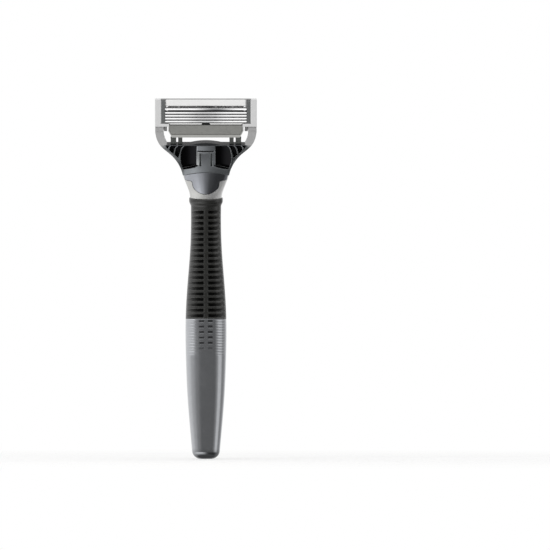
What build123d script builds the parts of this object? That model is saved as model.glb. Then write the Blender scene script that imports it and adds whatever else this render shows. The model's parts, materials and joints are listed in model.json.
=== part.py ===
from build123d import *
import os
from math import cos, radians, sin

# Cartridge razor: a weighted handle with a ribbed rubber grip, a metal neck with a thumb release button,
# and a push-on cartridge whose five-blade unit pivots on two yoke arms against rubber return links.
#
# Row frame: millimetres, +Z up the handle from the butt to the head, -Y the shaving side, X across.
# The origin is the centre of the small flat at the butt end.
#
# Two tilted frames hang off the pivot axis of the blade unit, both turned about X:
#   HEAD  for the yoke, the nose, the button and the upper neck
#   UNIT  for everything that pivots with the blades

# ---------------------------------------------------------------- driving dimensions
HEAD_TILT = 18.0            # forward lean of the neck, nose and yoke, degrees
UNIT_TILT = 8.0             # forward lean of the shaving face at rest, degrees
PIVOT_Y, PIVOT_Z = -8.6, 135.7

# handle: height, half width, half depth and centre-line y of its oval sections
STATIONS = [
    (0.0, 5.4, 4.5, 0.0),
    (12.0, 6.5, 5.3, 1.0),
    (26.0, 7.6, 6.2, 1.95),
    (42.0, 8.25, 6.9, 2.7),
    (57.4, 8.35, 7.0, 3.0),
    (72.0, 7.55, 6.5, 2.95),
    (84.0, 6.6, 5.85, 2.55),
    (96.0, 6.15, 5.4, 1.75),
    (109.0, 6.3, 5.2, 0.4),
]
BUTT_ROUND = 2.7
GRIP_BASE_Z = 57.4          # flat joint between the metal shell and the rubber grip
JOINT_Y, JOINT_Z, JOINT_TILT = 0.6, 107.2, 9.0    # joint between grip and neck
RUBBER = 1.6                # wall of the rubber grip
GROOVE_FIRST_Z, GROOVE_PITCH, GROOVE_COUNT = 58.7, 2.23, 20
GROOVE_WIDTH, GROOVE_DEPTH, SPINE_WIDTH = 1.15, 0.6, 2.05

# cartridge, measured from the pivot axis
WIDTH = 41.7                # over the side bars
BAR_WIDTH = 2.4             # light side bar
FACE_Y = -2.6               # front of the frame and the blade edges, UNIT frame
BACK_Y = 2.2                # back of the housing, UNIT frame
BACK_WALL_Y = 1.1           # front of its slotted back wall
SEAT_Y = -1.5               # where the frame, the strip and the guard sit on the housing
UNIT_TOP = 11.9             # top of the frame, UNIT frame
BLADE_HEIGHTS = [2.55, 3.75, 4.95, 6.15, 7.6]      # edge of each blade, UNIT frame; the last gap is wider
BLADE_HALF = 16.65          # half length of each blade
BLADE_LEAN = 22.0           # blade to shaving plane, degrees

GAP = 0.1                   # general clearance between pieces
KNUCKLE_R = 2.0             # round top end of each yoke arm
TRUNNION_R = 0.8
RUNNING = 0.05              # radial clearance of the pivot
CROWN_Z, CROWN_R = -40.0, 22.1     # arc where the yoke's mouth meets the neck, HEAD frame

HEAD = Location((0, PIVOT_Y, PIVOT_Z), (HEAD_TILT, 0, 0))
UNIT = Location((0, PIVOT_Y, PIVOT_Z), (UNIT_TILT, 0, 0))
JOINT = Location((0, JOINT_Y, JOINT_Z), (JOINT_TILT, 0, 0))
SPINE_AXIS_Y = 2.0          # y of the straight core rod
TANG_Y = 1.0                # y of the neck's tang


# ---------------------------------------------------------------- small helpers
def block(x0, x1, y0, y1, z0, z1):
    """A box from its limits."""
    return Pos((x0 + x1) / 2, (y0 + y1) / 2, (z0 + z1) / 2) * Box(x1 - x0, y1 - y0, z1 - z0)


def both(part):
    """The part and its mirror image across the middle plane."""
    return part + mirror(part, about=Plane.YZ)


def front_prism(outline, y0, y1):
    """A closed outline drawn as (x, z) from the front, made solid from depth y0 to y1."""
    face = Plane.XZ.offset(-y1) * make_face(outline)
    return extrude(face, amount=y1 - y0)


def side_prism(outline, half_length):
    """A closed outline drawn as (y, z) from the side, made solid across the middle plane."""
    return extrude(Plane.YZ * make_face(outline), amount=half_length, both=True)


def polygon(*points):
    return Polyline(*points, close=True)


def x_rod(radius, x0, x1, y=0.0, z=0.0):
    """A round rod along X."""
    return Pos((x0 + x1) / 2, y, z) * Rot(0, 90, 0) * Cylinder(radius, x1 - x0)


def y_rod(radius, y0, y1, x=0.0, z=0.0):
    """A round rod along Y."""
    return Pos(x, (y0 + y1) / 2, z) * Rot(90, 0, 0) * Cylinder(radius, y1 - y0)


def z_rod(radius, z0, z1, x=0.0, y=0.0):
    """A round rod along Z."""
    return Pos(x, y, (z0 + z1) / 2) * Cylinder(radius, z1 - z0)


# ---------------------------------------------------------------- handle
def oval(z, half_width, half_depth, y, tilt=0.0):
    """One oval handle section."""
    lean = radians(tilt)
    plane = Plane(origin=(0, y, z), x_dir=(1, 0, 0), z_dir=(0, -sin(lean), cos(lean)))
    return plane * Ellipse(half_width, half_depth)


def handle_form(inset=0.0, widen=0.0):
    """The handle's outer form from butt to neck, or a copy shrunk by inset and spread sideways by widen."""
    return loft([oval(z, w - inset + widen, d - inset, y) for z, w, d, y in STATIONS])


def below_joint(part):
    """The part of a handle form between the shell's flat top and the grip's tilted top face."""
    under = JOINT * block(-15, 15, -15, 15, -70, 0)
    return part & under & block(-12, 12, -12, 16, GRIP_BASE_Z, 120)


ROD_R, ROD_TOP_R = 3.2, 2.5
ROD_FOOT_Z, ROD_STEP_Z, ROD_TOP_Z = 18.0, 60.0, 93.5
TANG_R, TANG_FOOT_Z = 2.2, 94.0
SPIGOT_W, SPIGOT_D, SPIGOT_FOOT_Z, SPIGOT_Y = 5.6, 4.8, 51.4, 2.9
SOCKET_DEPTH_Z = 8.0        # height of the cut that seats the spigot, past the shell's top
BORE_START_Z = 50.0         # bores start below the spigot's foot
NECK_PIN_R, NECK_PIN_Z, NECK_PIN_HALF = 0.75, 99.0, 4.3


def make_handle_shell():
    """Metallic lower shell, rounded at the butt and bored for the core rod."""
    form = handle_form() & block(-12, 12, -12, 16, 0, GRIP_BASE_Z)
    form = fillet(form.edges().group_by(Axis.Z)[0], BUTT_ROUND)
    bore = z_rod(ROD_R + RUNNING, ROD_FOOT_Z - GAP, GRIP_BASE_Z + 1, y=SPINE_AXIS_Y)
    mouth = Ellipse(SPIGOT_W + RUNNING, SPIGOT_D + RUNNING)
    socket = extrude(Pos(0, SPIGOT_Y, SPIGOT_FOOT_Z - GAP) * mouth, SOCKET_DEPTH_Z)
    return form - bore - socket


def make_core_rod():
    """Stepped steel rod that gives the handle its weight."""
    return (z_rod(ROD_R, ROD_FOOT_Z, ROD_STEP_Z, y=SPINE_AXIS_Y)
            + z_rod(ROD_TOP_R, ROD_STEP_Z, ROD_TOP_Z, y=SPINE_AXIS_Y))


def make_grip_core():
    """Stiff plastic tube under the rubber: it joins the shell, the rod and the neck."""
    tube = below_joint(handle_form(RUBBER))
    spigot_foot = Pos(0, SPIGOT_Y, SPIGOT_FOOT_Z) * Ellipse(SPIGOT_W, SPIGOT_D)
    spigot = extrude(spigot_foot, GRIP_BASE_Z - SPIGOT_FOOT_Z)
    bores = (z_rod(ROD_R + RUNNING, BORE_START_Z, ROD_STEP_Z + GAP, y=SPINE_AXIS_Y)
             + z_rod(ROD_TOP_R + RUNNING, BORE_START_Z, ROD_TOP_Z + GAP, y=SPINE_AXIS_Y)
             + z_rod(TANG_R + RUNNING, TANG_FOOT_Z - GAP, 120, y=TANG_Y))
    pin_hole = x_rod(NECK_PIN_R + RUNNING, -8, 8, TANG_Y, NECK_PIN_Z)
    return tube + spigot - bores - pin_hole


def make_rubber_grip():
    """Rubber sleeve with a flared rim and grooves, which run out at the flanks and leave a plain spine."""
    rim = loft([oval(103.6, 5.9, 5.0, 1.0), oval(106.3, 7.0, 5.75, 0.68), oval(110.0, 7.0, 5.75, 0.25)])
    sleeve = below_joint(handle_form()) + below_joint(rim)
    rings = [block(SPINE_WIDTH / 2, 12, -12, 16, z - GROOVE_WIDTH / 2, z + GROOVE_WIDTH / 2)
             for z in [GROOVE_FIRST_Z + i * GROOVE_PITCH for i in range(GROOVE_COUNT)]]
    floor = handle_form(GROOVE_DEPTH, GROOVE_DEPTH + 0.35)
    grooves = both(Compound(rings)) - floor
    core = below_joint(handle_form(RUBBER))
    return sleeve - grooves - core


def make_neck_pin():
    """Cross pin that holds the neck's tang in the grip core."""
    return x_rod(NECK_PIN_R, -NECK_PIN_HALF, NECK_PIN_HALF, TANG_Y, NECK_PIN_Z)


# ---------------------------------------------------------------- neck, nose and button (HEAD frame)
SHIELD_FLOOR_Y = -1.2       # flat the button slides on
RAIL_HALF, RAIL_Y = 3.3, -2.0           # guide rail down the middle of that flat
SHIELD_STEP_Z, SHIELD_TIP_Z = -22.0, -27.2
SHIELD_HALF = 5.6           # half width of the button below its shoulders
CAVITY_HALF, CAVITY_Y0, CAVITY_Y1, CAVITY_Z0, CAVITY_Z1 = 2.6, -1.5, 1.0, -27.2, -19.2
SLOT_HALF = 1.3
ROOT_HALF, ROOT_Y0, ROOT_Y1, ROOT_Z0, ROOT_Z1 = 5.4, -0.7, 2.4, -23.0, -18.2
NOSE_HALF, NOSE_DEPTH, NOSE_TOP, TONGUE_Z = 3.1, 1.7, -9.8, -17.9
NOSE_PIN_R, NOSE_PIN_Y, NOSE_PIN_Z, NOSE_PIN_HALF = 0.5, 1.75, -21.3, 6.8
SLIDER_Z0, SLIDER_Z1 = -27.0, -25.0
PEG_R, PEG_X, PEG_Z, PEG_FRONT_Y = 0.4, 0.65, -26.0, -3.3      # pegs that fix the slider in the button
BOSS_R, BOSS_HEIGHT = 0.6, 1.2          # boss that centres the spring
SPRING_Y, SPRING_R, SPRING_WIRE, SPRING_TURNS = -0.25, 0.95, 0.15, 6


def neck_form():
    """Outer form of the neck with the button in place, in the row frame."""
    sections = []
    for z, half_width, half_depth, tilt in [(-16.6, 10.1, 4.2, 18), (-20.1, 9.4, 4.35, 18),
                                            (-23.8, 8.2, 4.6, 16.5), (-26.6, 7.15, 4.85, 13.5)]:
        centre = (HEAD * Pos(0, 0, z)).position
        lean = radians(tilt)
        plane = Plane(origin=centre, x_dir=(1, 0, 0), z_dir=(0, -sin(lean), cos(lean)))
        sections.append(plane * Ellipse(half_width, half_depth))
    lean = radians(JOINT_TILT)
    foot = Plane(origin=(0, JOINT_Y, JOINT_Z), x_dir=(1, 0, 0), z_dir=(0, -sin(lean), cos(lean)))
    sections.append(foot * Ellipse(6.5, 5.1))
    return loft(list(reversed(sections)))


def crown(radius):
    """Round rod across the mouth, whose arc is the joint between yoke and neck."""
    return y_rod(radius, -12, 12, z=CROWN_Z)


def shield(growth, y1):
    """Front outline of the release button, from its wide shoulders to the rounded tip."""
    w, step, tip = SHIELD_HALF + growth, SHIELD_STEP_Z - growth, SHIELD_TIP_Z - growth
    outline = [
        Line((-14, -10), (-14, step)),
        Line((-14, step), (-w - 0.8, step)),
        ThreePointArc((-w - 0.8, step), (-w - 0.2, step - 0.3), (-w, step - 1.0)),
        Spline([(-w, step - 1.0), (-w * 0.72, tip + 1.3), (0, tip)], tangents=[(0, -1), (1, 0)]),
        Spline([(0, tip), (w * 0.72, tip + 1.3), (w, step - 1.0)], tangents=[(1, 0), (0, 1)]),
        ThreePointArc((w, step - 1.0), (w + 0.2, step - 0.3), (w + 0.8, step)),
        Line((w + 0.8, step), (14, step)),
        Line((14, step), (14, -10)),
        Line((14, -10), (-14, -10)),
    ]
    return front_prism(outline, -14, y1)


def make_neck():
    """Plated neck: collar, back wall, slider cavity, slot for the nose and tang for the grip."""
    body = neck_form() & (HEAD * crown(CROWN_R - 0.15))
    cuts = shield(0.0, SHIELD_FLOOR_Y) - block(-RAIL_HALF, RAIL_HALF, RAIL_Y, 0, -30, -10)
    cuts += block(-CAVITY_HALF, CAVITY_HALF, CAVITY_Y0, CAVITY_Y1, CAVITY_Z0, CAVITY_Z1 + 4)
    cuts += block(-SLOT_HALF, SLOT_HALF, -6, CAVITY_Y0 + 0.1, CAVITY_Z0, -21)
    cuts += block(-ROOT_HALF - GAP, ROOT_HALF + GAP, ROOT_Y0 - GAP, ROOT_Y1 + GAP, ROOT_Z0 - GAP, -10)
    cuts += x_rod(NOSE_PIN_R + 0.02, -NOSE_PIN_HALF - GAP, NOSE_PIN_HALF + GAP, NOSE_PIN_Y, NOSE_PIN_Z)
    tang = z_rod(TANG_R, TANG_FOOT_Z, JOINT_Z + 1.0, y=TANG_Y)
    tang -= x_rod(NECK_PIN_R + RUNNING, -8, 8, TANG_Y, NECK_PIN_Z)
    return body - HEAD * cuts + tang


def make_release_button():
    """Shield-shaped thumb button. Its top edge pushes the cartridge off."""
    body = neck_form() & (HEAD * crown(CROWN_R - 0.15))
    room = block(-RAIL_HALF - GAP, RAIL_HALF + GAP, RAIL_Y - GAP, 0, -30, -10)
    room += both(y_rod(PEG_R + 0.02, -4, RAIL_Y, x=PEG_X, z=PEG_Z))
    return (body & (HEAD * shield(-0.12, SHIELD_FLOOR_Y - GAP))) - HEAD * room


def make_button_slider():
    """Inner slider that holds the button in the neck and seats the spring."""
    half = CAVITY_HALF - GAP
    body = block(-half, half, CAVITY_Y0 + GAP, CAVITY_Y1 - GAP, SLIDER_Z0, SLIDER_Z1)
    stem_half = SLOT_HALF - GAP
    stem = block(-stem_half, stem_half, RAIL_Y - GAP, CAVITY_Y0 + GAP, SLIDER_Z0, SLIDER_Z1)
    pegs = both(y_rod(PEG_R, PEG_FRONT_Y, RAIL_Y, x=PEG_X, z=PEG_Z))
    boss = z_rod(BOSS_R, SLIDER_Z1, SLIDER_Z1 + BOSS_HEIGHT, y=SPRING_Y)
    return HEAD * (body + stem + pegs + boss)


def make_button_spring():
    """Coil spring between the slider and the nose's root."""
    height = CAVITY_Z1 - SLIDER_Z1 - 2 * SPRING_WIRE - 0.1
    path = Helix(pitch=height / SPRING_TURNS, height=height, radius=SPRING_R)
    wire = sweep(Plane(origin=path @ 0, z_dir=path % 0) * Circle(SPRING_WIRE), path=path)
    return HEAD * Pos(0, SPRING_Y, SLIDER_Z1 + SPRING_WIRE + 0.05) * wire


def make_docking_nose():
    """Tongue that the cartridge pushes onto, with a cross-pinned root in the neck."""
    tongue = block(-NOSE_HALF, NOSE_HALF, -NOSE_DEPTH, NOSE_DEPTH, TONGUE_Z, NOSE_TOP)
    tongue = fillet(tongue.edges().filter_by(Axis.Y).group_by(Axis.Z)[-1], 0.9)
    tongue = chamfer(tongue.faces().sort_by(Axis.Z)[-1].edges().filter_by(Axis.X), 0.35)
    tongue -= block(-0.8, 0.8, -3, -NOSE_DEPTH + 0.35, -14.2, -5)
    root = block(-ROOT_HALF, ROOT_HALF, ROOT_Y0, ROOT_Y1, ROOT_Z0, ROOT_Z1)
    root += block(-NOSE_HALF, NOSE_HALF, ROOT_Y0, NOSE_DEPTH, ROOT_Z1, TONGUE_Z)
    root &= crown(CROWN_R - 0.2) + block(-NOSE_HALF, NOSE_HALF, -4, 4, -20, -10)
    root -= block(-CAVITY_HALF - GAP, CAVITY_HALF + GAP, -3, CAVITY_Y1 + GAP, -30, CAVITY_Z1)
    root -= x_rod(NOSE_PIN_R + 0.02, -8, 8, NOSE_PIN_Y, NOSE_PIN_Z)
    return HEAD * (tongue + root)


def make_nose_pin():
    """Cross pin that locks the nose into the neck."""
    return HEAD * x_rod(NOSE_PIN_R, -NOSE_PIN_HALF, NOSE_PIN_HALF, NOSE_PIN_Y, NOSE_PIN_Z)


# ---------------------------------------------------------------- cartridge yoke (HEAD frame)
YOKE_TOP_Z, CROWN_TOP_Z, CROWN_HALF = -6.7, -5.95, 6.2    # flat top edge and its raised middle
POCKET_TOP_Z = YOKE_TOP_Z - 0.35
SOCKET_HALF, SOCKET_DEPTH, SOCKET_TOP = NOSE_HALF + GAP, NOSE_DEPTH + GAP, -9.0
BOX_HALF, BOX_FRONT_Y, BOX_FOOT_Z = 3.85, -3.0, -14.7   # raised front box over the socket
BOX_CROWN_R, BOX_EDGE = 32.0, 0.5       # its front is slightly convex, with rounded upright edges
SCOOP_R, SCOOP_X, SCOOP_Y = 9.0, 7.0, -9.2     # the round cutter that hollows each scoop
LATCH_TOP, LATCH_SLOT = -9.55, 0.5      # the latch tongue is free above and hangs on the mouth rim
BUMP_R, BUMP_HALF, BUMP_Z = 0.3, 0.7, -13.2     # catch on the tongue, in the nose's groove
SIDE_SLOT_X0, SIDE_SLOT_X1, SIDE_SLOT_TOP, SIDE_SLOT_FOOT = 1.9, 2.65, -10.2, -15.4
ARM_OUT, ARM_IN = 20.75, 17.3
OUTER_EDGE = [(ARM_OUT, -1.2), (20.25, -4.0), (19.35, -6.1), (18.1, -7.75), (14.4, -10.9), (11.75, -14.1),
              (10.2, -17.4), (9.3, -21.0)]
INNER_EDGE = [(ARM_IN, -2.2), (16.9, -4.3), (15.9, YOKE_TOP_Z)]
FORK_LENS = [(-23.0, 9.9, 4.5), (-17.5, 11.2, 4.2), (-12.5, 17.5, 3.5), (-6.0, 31.0, 2.1), (3.0, 42.0, 2.0)]
ARM_SEAM = [(15.9, YOKE_TOP_Z), (17.2, -7.1), (16.6, -8.3), (13.9, -10.4), (11.35, -13.6), (11.2, -14.9)]


def flipped(points):
    """The same points on the left side."""
    return [(-x, z) for x, z in points]


def fork_form():
    """Yoke and arms as one form, before they are parted into pieces."""
    foot_x, foot_z = OUTER_EDGE[-1]
    outline = [
        ThreePointArc((-CROWN_HALF, YOKE_TOP_Z), (0, CROWN_TOP_Z), (CROWN_HALF, YOKE_TOP_Z)),
        Line((CROWN_HALF, YOKE_TOP_Z), INNER_EDGE[-1]),
        Spline(INNER_EDGE),
        Polyline(INNER_EDGE[0], (ARM_IN, 0), (ARM_OUT, 0), OUTER_EDGE[0]),
        Spline(OUTER_EDGE),
        Line((foot_x, foot_z), (-foot_x, foot_z)),
        Spline(flipped(OUTER_EDGE)),
        Polyline((-ARM_OUT, -1.2), (-ARM_OUT, 0), (-ARM_IN, 0), (-ARM_IN, -2.2)),
        Spline(flipped(INNER_EDGE)),
        Line((-15.9, YOKE_TOP_Z), (-CROWN_HALF, YOKE_TOP_Z)),
    ]
    lens = loft([Pos(0, 0, z) * Ellipse(half_width, half_depth) for z, half_width, half_depth in FORK_LENS])
    return front_prism(outline, -6, 6) & lens


def arm_region():
    """Everything outside the seam between the yoke and its right arm."""
    return front_prism(polygon(*ARM_SEAM, (14, -17), (30, -10), (30, 4), (15, 4)), -8, 8)


def lattice_cells():
    """Three pockets on one side, leaving curved ribs between the rail and the sloping rim."""
    top = POCKET_TOP_Z
    cells = [
        [(9.2, top), (11.3, top), (12.3, -8.2), (12.9, -10.9), (11.3, -12.3), (10.8, -10.5), (10.2, -8.2)],
        [(11.75, top), (14.2, top), (14.85, -7.9), (15.1, -9.0), (13.3, -10.6), (12.75, -8.2)],
        [(14.65, top), (16.5, top), (16.3, -7.9), (15.5, -8.6), (15.3, -7.8)],
    ]
    return Compound([front_prism(polygon(*cell), -6, 1.2) for cell in cells])


def scoop():
    """Hollow on one side of the socket box, with a concave floor. It runs in under the box's foot."""
    outline = polygon((BOX_HALF, POCKET_TOP_Z), (8.75, POCKET_TOP_Z), (9.75, -8.2), (10.35, -10.5),
                      (10.45, -13.0), (10.0, -15.2), (9.3, -17.2), (6.9, -16.6), (4.4, -15.9),
                      (2.9, -15.1), (BOX_HALF, BOX_FOOT_Z))
    return front_prism(outline, -8, 4) & z_rod(SCOOP_R, -24, 0, x=SCOOP_X, y=SCOOP_Y)


def make_yoke_body():
    """Black cartridge yoke: ribbed wings, socket for the nose and a sprung latch tongue."""
    body = fork_form() - crown(CROWN_R) - both(arm_region())
    body -= both(scoop()) + both(lattice_cells())
    box = block(-BOX_HALF, BOX_HALF, BOX_FRONT_Y, 0, BOX_FOOT_Z, POCKET_TOP_Z + 0.2)
    box &= z_rod(BOX_CROWN_R, BOX_FOOT_Z, 0, y=BOX_FRONT_Y + BOX_CROWN_R)
    body += fillet(box.edges().filter_by(Axis.Z).group_by(Axis.Y)[0], BOX_EDGE)
    body -= block(-SOCKET_HALF, SOCKET_HALF, -SOCKET_DEPTH, SOCKET_DEPTH, -24, SOCKET_TOP)
    body -= block(-SOCKET_HALF, SOCKET_HALF, -8, -1, LATCH_TOP, LATCH_TOP + LATCH_SLOT)
    body -= block(-BOX_HALF, BOX_HALF, -8, -2.45, LATCH_TOP, LATCH_TOP + LATCH_SLOT)
    body -= both(block(SIDE_SLOT_X0, SIDE_SLOT_X1, -8, -1, SIDE_SLOT_FOOT, SIDE_SLOT_TOP))
    bump = x_rod(BUMP_R, -BUMP_HALF, BUMP_HALF, -SOCKET_DEPTH + 0.05, BUMP_Z)
    return HEAD * (body + bump)


def make_yoke_arm():
    """Right arm: a horn outside the blade unit, a round knuckle on top and a tail along the yoke's rim."""
    arm = fork_form() & arm_region()
    arm += x_rod(KNUCKLE_R, ARM_IN, ARM_OUT)
    arm += x_rod(TRUNNION_R, 16.0, ARM_IN + 0.2)
    return HEAD * arm


LINK_DEPTH, LINK_TOP_Z, LINK_BASE = 1.1, -2.5, 0.5      # half depth, free top and height of the shared base
STRAP_IN, STRAP_OUT = 9.25, 11.55       # inner strap, which carries the eye
BLOCK_IN, BLOCK_OUT = 11.75, 14.3       # solid outer block
EYE_R, EYE_X, EYE_Z, EYE_WEB = 0.55, 10.4, -4.9, 0.75   # blind round dimples either side of a thin web


def make_flex_link():
    """Rubber return link on the right: a solid block and an eye, from the yoke up to the guard wall."""
    link = block(BLOCK_IN, BLOCK_OUT, -LINK_DEPTH, LINK_DEPTH, YOKE_TOP_Z, LINK_TOP_Z)
    strap = block(STRAP_IN, STRAP_OUT, -LINK_DEPTH, LINK_DEPTH, YOKE_TOP_Z, LINK_TOP_Z)
    strap -= y_rod(EYE_R, -2, -EYE_WEB, x=EYE_X, z=EYE_Z)
    strap -= y_rod(EYE_R, EYE_WEB, 2, x=EYE_X, z=EYE_Z)
    link += strap
    link += block(STRAP_IN, BLOCK_OUT, -LINK_DEPTH, LINK_DEPTH, YOKE_TOP_Z, YOKE_TOP_Z + LINK_BASE)
    under_guard = UNIT * block(-20, 20, -6, 6, -9, RIM_FOOT + 0.05)
    return (HEAD * link) & under_guard


# ---------------------------------------------------------------- blade unit (UNIT frame)
BAR_IN = WIDTH / 2 - BAR_WIDTH      # inner face of the light side bars
FOOT_Z0, FOOT_Z1 = 0.75, 2.0        # light foot that joins bar and guard rim
RIM_HALF, RIM_CORNER, RIM_FOOT, LIP_TOP_Z = 15.5, 13.9, -3.7, -2.6
CAP_Z = 11.5                # top of the housing and of the retainers
STRIP_Z0, STRIP_Z1 = 9.4, 11.85
LUG_R, LUG_IN, LUG_OUT = 1.4, 15.9, 17.15       # housing lugs that take the pins of the yoke arms
SLOT_SPANS = [(-16.2, -11.5), (-10.5, -4.5), (-3.5, 3.5), (4.5, 10.5), (11.5, 16.2)]   # rinse slots
SLOT_HEIGHT = 0.56


def guard_outline(inset, top):
    """Front outline of the guard with clipped lower corners."""
    w, c, foot = RIM_HALF - inset, RIM_CORNER - inset * 0.55, RIM_FOOT + inset
    return polygon((-w, top), (w, top), (w, -0.9), (c, foot), (-c, foot), (-w, -0.9))


def knuckle_room():
    """Round space kept free for the knuckles of the yoke arms."""
    return both(x_rod(KNUCKLE_R + 0.15, ARM_IN - GAP, ARM_OUT + 2))


def make_outer_frame():
    """Light grey ring: side bars, feet, guard rim and thin top rim."""
    bar = block(BAR_IN, WIDTH / 2, FACE_Y, 1.6, FOOT_Z0, UNIT_TOP)
    bar = fillet(bar.edges().filter_by(Axis.Z).group_by(Axis.X)[-1], 0.5)
    foot = block(15.0, BAR_IN, FACE_Y, SEAT_Y, FOOT_Z0, FOOT_Z1)
    rim = front_prism(guard_outline(0.0, FOOT_Z1), FACE_Y, SEAT_Y)
    rim -= front_prism(guard_outline(0.45, 5.0), -6, 2) & block(-20, 20, -6, 2, LIP_TOP_Z, 6)
    top = block(-BAR_IN, BAR_IN, SEAT_Y + GAP, 1.6, CAP_Z + GAP, UNIT_TOP)
    frame = both(bar + foot) + rim + top
    return frame - knuckle_room()


def peg_places():
    """Where the retainer's pegs enter the housing, on the right side."""
    return [(17.5, 10.6), (17.5, 2.5)]


def make_blade_housing():
    """Dark housing: end walls, cap wall, guard wall, slotted rinse-through back and pivot lugs."""
    body = block(-BAR_IN + GAP, BAR_IN - GAP, SEAT_Y, BACK_Y, FOOT_Z1, CAP_Z)
    body += front_prism(guard_outline(GAP, FOOT_Z1), SEAT_Y, 1.5)
    body -= block(-16.6, 16.6, -6, BACK_WALL_Y, 2.4, 9.1)
    for z in BLADE_HEIGHTS:
        for x0, x1 in SLOT_SPANS:
            body -= block(x0, x1, 0, 6, z + 1.0 - SLOT_HEIGHT / 2, z + 1.0 + SLOT_HEIGHT / 2)
    lug = x_rod(LUG_R, LUG_IN, LUG_OUT) + block(LUG_IN, LUG_OUT, -LUG_R, LUG_R, 0, FOOT_Z1 + 0.2)
    body += both(lug)
    body -= both(x_rod(TRUNNION_R + RUNNING, 15.0, 18.0)) + knuckle_room()
    body -= both(Compound([y_rod(0.52, -6, 0.6, x=x, z=z) for x, z in peg_places()]))
    for z in BLADE_HEIGHTS:
        body -= block(-17.9, 17.9, -6, 1.05, z + 0.44, z + 0.76)
    return body


def make_retainer():
    """Dark end bar on the right that clamps the blade ends, with two pegs."""
    bar = block(16.75, BAR_IN - GAP, -2.4, -1.95, 2.15, CAP_Z)
    bar = fillet(bar.edges().filter_by(Axis.X).group_by(Axis.Y)[0], 0.2)
    for x, z in peg_places():
        bar += y_rod(0.5, -2.0, 0.5, x=x, z=z)
    return bar


BLADE_LENGTH, BLADE_THICK, BEVEL = 0.7, 0.1, 0.28
LEG_THICK, LEG_BACK_Y = 0.2, 0.95       # long leg of the bent support


def blade_point(along, behind, z):
    """A (y, z) point along a blade's slope from its edge, and behind its front face."""
    lean = radians(BLADE_LEAN)
    return (FACE_Y + along * sin(lean) + behind * cos(lean), z + along * cos(lean) - behind * sin(lean))


def make_blade(z):
    """Hardened strip with a ground edge that points to the guard."""
    outline = polygon(blade_point(0, 0, z), blade_point(BLADE_LENGTH, 0, z),
                      blade_point(BLADE_LENGTH, BLADE_THICK, z), blade_point(BEVEL, BLADE_THICK, z))
    return side_prism(outline, BLADE_HALF)


def make_blade_support(z):
    """Bent steel carrier: a short sloping leg behind the blade and a long leg into the housing."""
    heel = z + 0.5
    outline = polygon(blade_point(0.34, BLADE_THICK, z), blade_point(0.72, BLADE_THICK, z),
                      (-1.9, heel + LEG_THICK), (LEG_BACK_Y, heel + LEG_THICK), (LEG_BACK_Y, heel),
                      (-2.1, heel))
    legs = side_prism(outline, BLADE_HALF)
    tabs = both(block(BLADE_HALF - 0.1, 17.8, -1.4, LEG_BACK_Y, heel, heel + LEG_THICK))
    return legs + tabs


def make_lead_in_plate():
    """Polished plate below the first blade, with clipped ends, a centre notch and a flange on the ledge."""
    outline = polygon((-2.52, 1.72), (-1.95, 2.6), (-0.9, 2.6), (-0.9, 2.45), (-1.9, 2.45), (-2.4, 1.67))
    plate = side_prism(outline, 16.4)
    clip = front_prism(polygon((16.6, 2.9), (16.6, 1.5), (14.1, 1.5)), -6, 2)
    notch = front_prism(polygon((-2.1, 1.5), (2.1, 1.5), (1.2, 2.35), (-1.2, 2.35)), -6, 2)
    return plate - both(clip) - notch


def make_guard_strip():
    """Soft grey guard bar inside the rim."""
    strip = front_prism(guard_outline(0.5, 1.35), -2.5, SEAT_Y)
    strip -= block(-20, 20, -6, 6, -6, LIP_TOP_Z + 0.05)
    return fillet(strip.edges().filter_by(Axis.X).group_by(Axis.Y)[0], 0.25)


def make_lubricating_strip():
    """Pale strip above the blades, slightly rounded along its edges."""
    strip = block(-16.3, 16.3, -2.5, SEAT_Y, STRIP_Z0, STRIP_Z1)
    return fillet(strip.edges().filter_by(Axis.X).group_by(Axis.Y)[0], 0.35)


TRIMMER_FOOT, TRIMMER_TOP = 6.6, 10.9
COVER_HALF, COVER_Y0, COVER_Y1 = 15.5, 3.1, 3.6         # upright comb wall of the trimmer cover
COMB_SLOT, COMB_DEPTH, COMB_PITCH = 0.7, 1.0, 2


def make_trimmer_cover():
    """Comb on the back of the housing that holds the trimmer blade."""
    cover = block(-COVER_HALF, COVER_HALF, BACK_Y, COVER_Y1, TRIMMER_FOOT, TRIMMER_FOOT + 1.0)
    cover += block(-COVER_HALF, COVER_HALF, COVER_Y0, COVER_Y1, TRIMMER_FOOT, TRIMMER_TOP)
    slots = [block(x - COMB_SLOT / 2, x + COMB_SLOT / 2, 2.9, 4, TRIMMER_TOP - COMB_DEPTH, 13)
             for x in range(-14, 15, COMB_PITCH)]
    return cover - Compound(slots)


def make_trimmer_blade():
    """Single edging blade that points up behind the strip."""
    edge = polygon((2.75, TRIMMER_FOOT + 1.0), (2.9, TRIMMER_FOOT + 1.0), (2.9, TRIMMER_TOP),
                   (2.82, TRIMMER_TOP + 0.5), (2.75, TRIMMER_TOP))
    return side_prism(edge, 14.5)


# ---------------------------------------------------------------- all nodes
def blade_unit_nodes():
    parts = {
        "outer_frame": make_outer_frame(),
        "blade_housing": make_blade_housing(),
        "blade_retainer_right": make_retainer(),
        "blade_retainer_left": mirror(make_retainer(), about=Plane.YZ),
        "lead_in_plate": make_lead_in_plate(),
        "guard_strip": make_guard_strip(),
        "lubricating_strip": make_lubricating_strip(),
        "trimmer_cover": make_trimmer_cover(),
        "trimmer_blade": make_trimmer_blade(),
    }
    for number, z in enumerate(BLADE_HEIGHTS, start=1):
        parts[f"blade_{number}"] = make_blade(z)
        parts[f"blade_support_{number}"] = make_blade_support(z)
    return {name: UNIT * part for name, part in parts.items()}


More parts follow.
